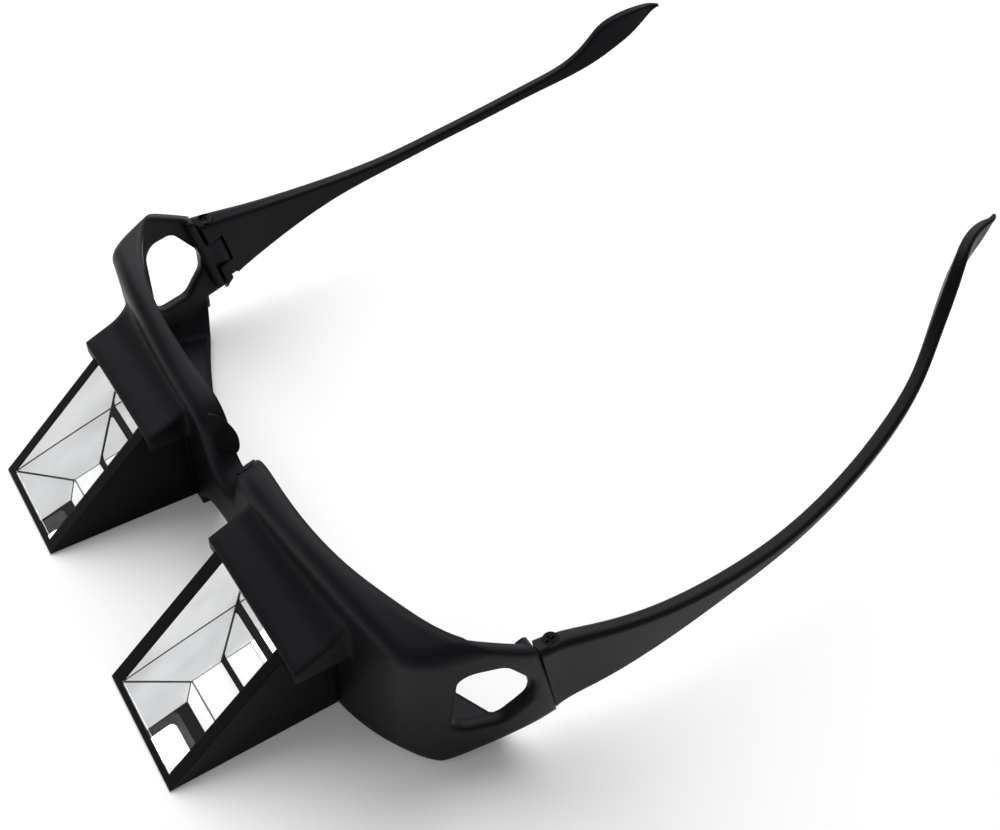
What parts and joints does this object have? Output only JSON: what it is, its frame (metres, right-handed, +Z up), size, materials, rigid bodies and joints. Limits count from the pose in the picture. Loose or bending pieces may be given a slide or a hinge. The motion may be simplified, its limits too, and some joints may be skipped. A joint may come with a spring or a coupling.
{
  "type": "prism bed glasses",
  "caption": "Goggle-style glasses with wedge prisms under sloping hoods in front of the eyes, vented side walls and folding temples with leaf-shaped ends, for reading while lying down.",
  "frame": {"origin": "middle of the footprint, on the surface the glasses lie on", "axes": "+X is the wearer's right, +Y runs back along the temples, +Z is up as the glasses lie upside down on their brow edge and prisms"},
  "size_m": [0.155, 0.1858, 0.0682],
  "materials": {
    "frame_plastic": "fine satin black",
    "housing_plastic": "fine satin black",
    "bezel_plastic": "fine satin black",
    "cover_plastic": "fine satin black",
    "temple_plastic": "fine satin black",
    "pad_rubber": "soft matt",
    "prism_glass": "clear, polished faces",
    "mirror_coat": "silvered",
    "screw_steel": "blackened",
    "nut_brass": "plain turned"
  },
  "bodies": {
    "face": {"front_frame": "frame_plastic", "right_prism_housing": "housing_plastic", "right_prism": "prism_glass", "right_mirror": "mirror_coat", "right_mirror_cover": "cover_plastic", "right_eye_bezel": "bezel_plastic", "right_nose_pad": "pad_rubber", "left_prism_housing": "housing_plastic", "left_prism": "prism_glass", "left_mirror": "mirror_coat", "left_mirror_cover": "cover_plastic", "left_eye_bezel": "bezel_plastic", "left_nose_pad": "pad_rubber"},
    "right_arm": {"right_temple": "temple_plastic", "right_hinge_screw": "screw_steel", "right_hinge_nut": "nut_brass"},
    "left_arm": {"left_temple": "temple_plastic", "left_hinge_screw": "screw_steel", "left_hinge_nut": "nut_brass"}
  },
  "joints": [
    {"name": "right_temple_fold", "type": "hinge", "parent": "face", "child": "right_arm", "pos_m": [0.071, -0.02749, 0.0219], "axis": [0, -0.2689, 0.9632], "range_deg": [0, 84]},
    {"name": "left_temple_fold", "type": "hinge", "parent": "face", "child": "left_arm", "pos_m": [-0.071, -0.02749, 0.0219], "axis": [0, 0.2689, -0.9632], "range_deg": [0, 76]}
  ]
}
